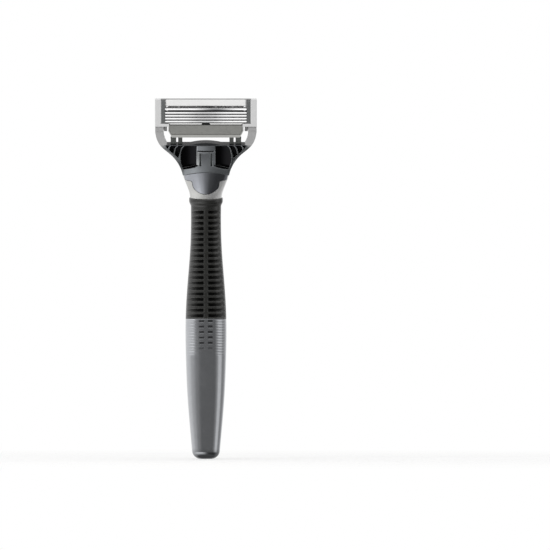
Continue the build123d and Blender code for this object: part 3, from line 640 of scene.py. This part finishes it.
# ---------------------------------------------------------------- rubber grip
JOINT_Y, JOINT_Z, JOINT_SLOPE = 0.6, 107.2, tan(radians(9.0))       # the sloping joint with the neck
LEAN_FADE = (101.8, 5.4)
LIP_HALF, LIP_DEPTH, LIP_ROUND, LIP_FADE = 6.9, 5.7, 0.45, (103.6, 2.1)
GROOVE_DEPTH, GROOVE_SOFT, GRIP_RIB = 0.62, 0.15, 0.11
GROOVE_HALF, GROOVE_NARROWING = 0.58, 0.24
SPINE_FADE = (0.78, 0.28)                           # from the middle plane outwards
ZONE_IN, ZONE_OUT = (GRIP_BASE + 0.3, 0.6), (101.6, 0.8)
# The next five fades run outwards, in shares of the half width.
NARROW_FADE, CUT_FADE, SHADE_FADE = (0.2, 0.75), (0.68, 0.3), (0.25, 0.55)
RIB_IN, RIB_OUT = (0.45, 0.25), (0.97, 0.03)
SHADE_LOSS, RIB_SHADE = 0.5, 0.25
WALL = 1.6
GROOVE_STEPS = (0.11, 0.22, 0.32, 0.41, 0.5, 0.58, 0.66, 0.74, 0.82, 0.95)   # rings either side of a groove
COLLAR_STRETCH = (102.3, JOINT_Z - 0.5, 18)         # lowest ring, highest ring and number of rings
SLEEVE_STRETCH = (JOINT_Z, GRIP_BASE, 26)           # the same for the bore, from the top down
LIP_STEPS = 6


def lean_of(z):
    """How far a ring at height z follows the slope of the joint with the neck."""
    return rise(z, *LEAN_FADE)


def inner_ring(z):
    """One ring of the sleeve's bore."""
    w, d, y = section(z)
    ring = oval_ring(z, w - WALL, d - WALL, y)
    ring[:, 2] += (ring[:, 1] - JOINT_Y) * JOINT_SLOPE * lean_of(z)
    return ring


def grip_surface(z, turn):
    """The sleeve: grooves beside a plain spine run out to fine ribs at the flanks, below a flared rim."""
    w, d, yc = section(z)
    lift = rise(z, *LIP_FADE)
    w = w + (LIP_HALF - w) * lift
    d = d + (LIP_DEPTH - d) * lift
    x = np.abs(w * np.cos(turn))
    share = x / w
    half = GROOVE_HALF - GROOVE_NARROWING * rise(share, *NARROW_FADE)
    cut = groove(z, GROOVE_FIRST, GROOVE_PITCH, GROOVE_COUNT, half, GROOVE_SOFT)
    cut = cut * rise(x, *SPINE_FADE) * (1 - rise(share, *CUT_FADE))
    zone = rise(z, *ZONE_IN) * (1 - rise(z, *ZONE_OUT))
    rib = ribs(z) * rise(share, *RIB_IN) * (1 - rise(share, *RIB_OUT)) * zone
    inset = cut * GROOVE_DEPTH + rib * GRIP_RIB + rounded_edge(JOINT_Z - z, LIP_ROUND)
    xs = (w - inset) * np.cos(turn)
    ys = yc + (d - inset) * np.sin(turn)
    points = np.stack([xs, ys, z + (ys - JOINT_Y) * JOINT_SLOPE * lean_of(z)], axis=-1)
    shade = cut * (1 - SHADE_LOSS * rise(share, *SHADE_FADE))
    return points, np.maximum(shade, RIB_SHADE * rib)


def grip_heights():
    """Ring heights: close together at each groove, even up the collar, and close round the lip."""
    offsets = [-step for step in reversed(GROOVE_STEPS)] + [0.0] + list(GROOVE_STEPS)
    heights = [GRIP_BASE]
    for i in range(GROOVE_COUNT):
        heights += [GROOVE_FIRST + i * GROOVE_PITCH + offset for offset in offsets]
    heights += list(np.linspace(*COLLAR_STRETCH))
    heights += list(JOINT_Z - LIP_ROUND * np.cos(np.linspace(0, pi / 2, LIP_STEPS)))
    return np.array(heights)


grip_bore = [inner_ring(z) for z in np.linspace(*SLEEVE_STRETCH)]
ring_mesh("rubber_grip_grooved", grip_heights(), grip_surface, grip_bore, False,
          "rubber_grip", "grip_rubber")


# ---------------------------------------------------------------- return links
YOKE_TOP = -6.7                             # HEAD height of the yoke's top edge
GUARD_FOOT = -3.7                           # UNIT height of the guard's foot
LINK_GAP, LINK_GRIP = 0.03, 0.3             # clearance at each end, and a further length past it
LINK_LAYERS, LINK_DEPTH, LINK_CORNER, LINK_STEPS, LINK_WAIST = 29, 1.1, 0.3, 12, 0.05
CREASE_DEPTH, CREASE_WIDTH, CREASES = 0.10, 0.05, (0.35, 0.68)      # places along the link, from 0 to 1
DIMPLE_RADIUS, DIMPLE_DEPTH, DIMPLE_FACE, LINK_SPAN = 0.5, 0.35, 0.7, 3.3
LINKS = (("outer", 13.3, 1.2, False), ("inner", 10.5, 0.9, True))   # place and half width, dimpled or creased


def rounded_ring(half_width, half_depth, corner, count):
    """A rounded rectangle round the origin in the x-y plane, with count points to a corner."""
    ring = []
    for k, (sx, sy) in enumerate([(1, 1), (-1, 1), (-1, -1), (1, -1)]):
        middle_x, middle_y = sx * (half_width - corner), sy * (half_depth - corner)
        for a in np.linspace(k * pi / 2, (k + 1) * pi / 2, count):
            ring.append((middle_x + corner * cos(a), middle_y + corner * sin(a)))
    return np.array(ring)


def link_layer(t, middle, half_width, dimple):
    """One ring of a link, t of the way from the yoke to the guard."""
    bells = [np.exp(-((t - at) / CREASE_WIDTH) ** 2) for at in CREASES]
    crease = 0.0 if dimple else CREASE_DEPTH * sum(bells)
    waist = 1 - LINK_WAIST * sin(pi * t) - crease
    ring = rounded_ring(half_width * waist, LINK_DEPTH * waist, LINK_CORNER, LINK_STEPS)
    x, y = middle + ring[:, 0], ring[:, 1]
    foot = placed(np.stack([x, y, np.full_like(x, YOKE_TOP + LINK_GAP)], axis=-1), HEAD_TILT)
    head = placed(np.stack([x, y, np.full_like(x, GUARD_FOOT - LINK_GAP)], axis=-1), UNIT_TILT)
    layer = foot * (1 - t) + head * t
    if dimple:
        away = np.hypot((x - middle) / DIMPLE_RADIUS, (t - 0.5) * LINK_SPAN / DIMPLE_RADIUS)
        layer[:, 1] -= np.sign(y) * DIMPLE_DEPTH * (1 - smooth(away)) * (np.abs(y) > DIMPLE_FACE)
    return layer


def return_link(name, node, middle, half_width, dimple):
    """One rubber link: a waisted block with two creases, or one with a round dimple in its faces."""
    layers = [link_layer(t, middle, half_width, dimple) for t in np.linspace(0, 1, LINK_LAYERS)]
    faces = tube_faces(LINK_LAYERS, len(layers[0]))
    link = new_mesh(name, np.concatenate(layers), faces, None, node, "link_rubber")
    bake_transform(link)


for side, word in ((1, "right"), (-1, "left")):
    for place, middle, half_width, dimple in LINKS:
        return_link(f"return_link_{place}_{word}", f"flex_link_{word}", side * middle, half_width, dimple)


# ---------------------------------------------------------------- guard bar and lubricating strip, UNIT frame
FRONT, SEAT = -2.5, -1.5                    # y of the front of both bars, and of what they sit on
BAR_CORNER, BAR_STEPS = 0.28, 11
HALF_SHARE = 0.9                            # a bar's corner takes at most this share of its half height
DEPTH_SHARE = 0.4                           # and at most this share of its depth
GUARD_HALF, GUARD_FLAT, GUARD_LOW, GUARD_TOP = 15.0, 13.625, -2.55, 1.35
TAPER_FOOT, TAPER_RISE = -3.2, 2.3          # the guard's foot rises past GUARD_FLAT on this line
FIN_PITCH, FIN_DEPTH, FIN_STEPS = 0.5, 0.07, 8
GUARD_END, GUARD_CHAMFER, GUARD_INSET = 0.3, 0.25, 0.2
STRIP_LOW, STRIP_TOP, STRIP_HALF, STRIP_EVEN = 9.4, 11.85, 16.3, 15.6
STRIP_END, STRIP_CHAMFER, STRIP_INSET = 0.4, 0.25, 0.03
STRIP_WAVE, LONG_WAVE, SHORT_WAVE = 0.02, 0.63, 1.7                 # depth, and radians per mm of two waves
STRIP_RINGS, STRIP_END_RINGS = 60, 8


def swept_bar(name, node, slot, stations):
    """A soft bar along X from stations, which are x, low z, high z and how far the front is set back."""
    rings = []
    for x, low, high, inset in stations:
        middle, half = (low + high) / 2, (high - low) / 2
        depth = SEAT - FRONT - inset
        corner = min(BAR_CORNER, half * HALF_SHARE, depth * DEPTH_SHARE)
        ring = rounded_ring(depth / 2, half, corner, BAR_STEPS)
        y = (FRONT + inset + SEAT) / 2 - ring[:, 0]
        rings.append(np.stack([np.full(len(y), x), y, middle + ring[:, 1]], axis=-1))
    points = placed(np.concatenate(rings), UNIT_TILT)
    new_mesh(name, points, tube_faces(len(rings), len(rings[0])), "blade_unit", node, slot)


def guard_station(x):
    """The guard at x: fine upright fins, a foot that rises at its ends, and soft ends."""
    foot = max(GUARD_LOW, TAPER_FOOT + (abs(x) - GUARD_FLAT) / (GUARD_HALF - GUARD_FLAT) * TAPER_RISE)
    drop = 1 - smooth((GUARD_HALF - abs(x)) / GUARD_END)
    fin = FIN_DEPTH * (0.5 - 0.5 * cos(2 * pi * x / FIN_PITCH))
    return x, foot + GUARD_CHAMFER * drop, GUARD_TOP - GUARD_CHAMFER * drop, fin + GUARD_INSET * drop


def strip_station(x):
    """The strip at x: a faintly wavy face and round ends."""
    past = max(0.0, abs(x) - STRIP_HALF + STRIP_END)
    drop = STRIP_CHAMFER * (1 - np.sqrt(max(0.0, 1 - past ** 2 / STRIP_END ** 2)))
    wavy = STRIP_WAVE * sin(x * SHORT_WAVE) * sin(x * LONG_WAVE)
    return x, STRIP_LOW + drop, STRIP_TOP - drop, drop + STRIP_INSET + wavy


guard_places = np.arange(-GUARD_HALF, GUARD_HALF + FIN_PITCH / FIN_STEPS / 2, FIN_PITCH / FIN_STEPS)
swept_bar("guard_finned", "guard_strip", "guard_rubber", [guard_station(x) for x in guard_places])
end_places = STRIP_HALF - STRIP_END * (1 - np.cos(np.linspace(0, pi / 2, STRIP_END_RINGS)))
even_places = np.linspace(-STRIP_EVEN, STRIP_EVEN, STRIP_RINGS)
strip_places = np.concatenate([-end_places, even_places, end_places[::-1]])
swept_bar("lubricating_strip_crowned", "lubricating_strip", "strip_pale",
          [strip_station(x) for x in strip_places])


# ---------------------------------------------------------------- button spring, HEAD frame
SPRING_Y, SPRING_LOW, SPRING_HIGH, SPRING_TURNS = -0.25, -24.8, -19.45, 6
COIL, WIRE = 0.95, 0.15                     # radii of the coil and the wire
TURN_STEPS, WIRE_SIDES = 30, 10


def spring_points(count):
    """Rings of points round the wire, along the coil."""
    points = []
    for i in range(count):
        t = i / (count - 1)
        a = 2 * pi * SPRING_TURNS * t
        height = SPRING_LOW + (SPRING_HIGH - SPRING_LOW) * t
        middle = Vector((COIL * cos(a), SPRING_Y + COIL * sin(a), height))
        out = Vector((cos(a), sin(a), 0))
        for k in range(WIRE_SIDES):
            b = 2 * pi * k / WIRE_SIDES
            points.append(tuple(middle + WIRE * (out * cos(b) + Vector((0, 0, 1)) * sin(b))))
    return placed(points, HEAD_TILT)


spring_rings = SPRING_TURNS * TURN_STEPS + 1
spring = new_mesh("button_spring_wound", spring_points(spring_rings), tube_faces(spring_rings, WIRE_SIDES),
                  "handle", "button_spring", "spring_steel")
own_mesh(spring)


# ---------------------------------------------------------------- floor, in metres
FLOOR_RINGS, FLOOR_SPOKES, FLOOR_REACH, FLOOR_DROP = 24, 96, 0.5, 0.00005
FLOOR_FADE = (0.10, 0.42)                   # the floor fades into the white world over these distances
FLOOR_GREY, FLOOR_PALE = (0.93, 0.93, 0.93, 1), (0.97, 0.97, 0.965, 1)
DUST_SCALE, DUST_DETAIL = 60.0, 4.0


def floor_disc():
    """A disc of rings and spokes round the origin."""
    points = [(0, 0, 0)]
    for r in range(1, FLOOR_RINGS + 1):
        radius = FLOOR_REACH * r / FLOOR_RINGS
        turns = [2 * pi * s / FLOOR_SPOKES for s in range(FLOOR_SPOKES)]
        points += [(radius * cos(turn), radius * sin(turn), 0) for turn in turns]
    faces = [(0, 1 + s, 1 + (s + 1) % FLOOR_SPOKES) for s in range(FLOOR_SPOKES)]
    for r in range(FLOOR_RINGS - 1):
        for s in range(FLOOR_SPOKES):
            a, b = 1 + r * FLOOR_SPOKES + s, 1 + r * FLOOR_SPOKES + (s + 1) % FLOOR_SPOKES
            faces.append((a, a + FLOOR_SPOKES, b + FLOOR_SPOKES, b))
    mesh = bpy.data.meshes.new("floor")
    mesh.from_pydata(points, [], faces)
    return mesh


def floor_material():
    """Matt and pale, and clear towards its edge."""
    made = bpy.data.materials.new("pale_floor")
    made.use_nodes = True
    tree = made.node_tree
    tree.nodes.clear()
    place = object_place(tree)
    distance = add(tree, "ShaderNodeVectorMath", {0: place}, operation="LENGTH").outputs["Value"]
    dust = mix(tree, noise(tree, place, DUST_SCALE, DUST_DETAIL), FLOOR_GREY, FLOOR_PALE)
    matt = add(tree, "ShaderNodeBsdfDiffuse", {"Color": dust}).outputs[0]
    clear = add(tree, "ShaderNodeBsdfTransparent").outputs[0]
    shown = add(tree, "ShaderNodeMixShader", {0: ramp(tree, distance, FLOOR_FADE), 1: matt, 2: clear})
    add(tree, "ShaderNodeOutputMaterial", {0: shown.outputs[0]})
    return made


floor_mesh = floor_disc()
floor = bpy.data.objects.new("floor", floor_mesh)
floor.location = (0, 0, -FLOOR_DROP)
bpy.context.scene.collection.objects.link(floor)
floor.visible_glossy = False
floor_mesh.materials.append(floor_material())


# ---------------------------------------------------------------- studio
# What polished pieces mirror: the studio's brightness all round, as pairs of a bearing in degrees from
# the front, negative on the left, and a brightness. Each ring of light has its own pairs, from above
# down to the ground.
ABOVE = [(-180, 1.0), (-60, 1.15), (0, 1.1), (60, 0.9), (180, 1.0)]
LEVEL = [(-180, 0.90), (-140, 1.05), (-106, 0.95), (-74, 0.62), (-47, 0.33), (-24, 0.19), (46, 0.19),
         (62, 0.42), (70, 0.88), (86, 0.88), (100, 0.36), (118, 0.42), (150, 0.95), (180, 0.90)]
BELOW = [(-180, 0.8), (-120, 1.2), (-60, 1.7), (-30, 1.65), (-14, 1.0), (0, 0.40), (12, 0.15), (30, 0.09),
         (75, 0.1), (95, 0.35), (130, 0.5), (180, 0.8)]
LOW = [(-180, 0.8), (-100, 1.0), (-20, 0.95), (-8, 0.68), (4, 0.30), (14, 0.14), (30, 0.085), (75, 0.075),
       (95, 0.3), (130, 0.5), (180, 0.8)]
GROUND = (0.25, 0.25, 0.25, 1)
# Upward part of the direction over which one ring turns into the next.
ABOVE_EDGE, BELOW_EDGE, LOW_EDGE, GROUND_EDGE = (0.12, 0.42), (-0.16, -0.34), (-0.46, -0.58), (-0.66, -0.8)
# Soft light from all round: brightness at the bottom and the top, and its factor on the left and the right.
SKY_LIGHT, SIDE_LIGHT = (0.72, 1.02), (1.1, 0.9)


def ring_of_light(tree, turn, stops):
    """Brightness round the horizon, at a turn from 0 to 1 that is 0.5 at the front."""
    node = add(tree, "ShaderNodeValToRGB", {0: turn})
    node.color_ramp.interpolation = "EASE"
    elements = node.color_ramp.elements
    while len(elements) > 1:
        elements.remove(elements[-1])
    for i, (degrees, bright) in enumerate(stops):
        place = (degrees + 180) / 360
        spot = elements[0] if i == 0 else elements.new(place)
        spot.position = place
        spot.color = (bright, bright, bright, 1)
    return node.outputs[0]


def mirrored(tree, dx, dy, dz):
    """What a polished piece mirrors in the direction dx, dy, dz."""
    bearing = math(tree, "ARCTAN2", dx, math(tree, "MULTIPLY", dy, -1.0))
    turn = scaled(tree, bearing, 1 / (2 * pi), 0.5)
    seen = ring_of_light(tree, turn, LEVEL)
    for edge, stops in ((ABOVE_EDGE, ABOVE), (BELOW_EDGE, BELOW), (LOW_EDGE, LOW)):
        seen = mix(tree, ramp(tree, dz, edge), seen, ring_of_light(tree, turn, stops))
    return mix(tree, ramp(tree, dz, GROUND_EDGE), seen, GROUND)


def studio_world():
    """A white room to the eye, soft light to matt pieces and rings of light to polished ones."""
    world = bpy.data.worlds.new("studio")
    bpy.context.scene.world = world
    world.use_nodes = True
    world.cycles.sampling_method = "NONE"
    tree = world.node_tree
    tree.nodes.clear()
    way = add(tree, "ShaderNodeTexCoord").outputs["Generated"]
    dx, dy, dz = add(tree, "ShaderNodeSeparateXYZ", {0: way}).outputs
    light = math(tree, "MULTIPLY", map_range(tree, dz, -1.0, 1.0, *SKY_LIGHT),
                 map_range(tree, dx, -1.0, 1.0, *SIDE_LIGHT))
    path = add(tree, "ShaderNodeLightPath").outputs
    lit = mix(tree, path["Is Glossy Ray"], light, mirrored(tree, dx, dy, dz))
    colour = mix(tree, path["Is Camera Ray"], lit, (1.0, 1.0, 1.0, 1.0))
    back = add(tree, "ShaderNodeBackground", {"Color": colour, "Strength": 1.0})
    add(tree, "ShaderNodeOutputWorld", {0: back.outputs[0]})


SOFTBOX_SIZE, SOFTBOX_POWER = 0.5, 0.8
SOFTBOX_PLACE, SOFTBOX_AIM = (-0.5, -0.55, 0.55), (0, 0, 0.08)


def softbox():
    """One soft lamp at the upper left, seen by matt surfaces only."""
    light = bpy.data.lights.new("softbox", "AREA")
    light.shape = "SQUARE"
    light.size = SOFTBOX_SIZE
    light.energy = SOFTBOX_POWER
    lamp = bpy.data.objects.new("softbox", light)
    lamp.location = SOFTBOX_PLACE
    lamp.rotation_euler = (Vector(SOFTBOX_AIM) - Vector(SOFTBOX_PLACE)).to_track_quat("-Z", "Y").to_euler()
    lamp.visible_glossy = False
    bpy.context.scene.collection.objects.link(lamp)


VIEW_WIDTH, VIEW_DISTANCE = 0.2255, 7.0     # what the view spans at the razor, and how far off the camera is
VIEW_X, VIEW_Z = 0.0283, 0.0754
SENSOR = 36.0


def front_camera():
    """A long lens that looks straight along +Y."""
    camera = bpy.data.cameras.new("camera")
    camera.sensor_width = SENSOR
    camera.lens = SENSOR * VIEW_DISTANCE / VIEW_WIDTH
    eye = bpy.data.objects.new("camera", camera)
    eye.location = (VIEW_X, -VIEW_DISTANCE, VIEW_Z)
    eye.rotation_euler = (radians(90), 0, 0)
    bpy.context.scene.collection.objects.link(eye)
    bpy.context.scene.camera = eye


studio_world()
softbox()
front_camera()
bpy.context.scene.view_settings.view_transform = "Standard"
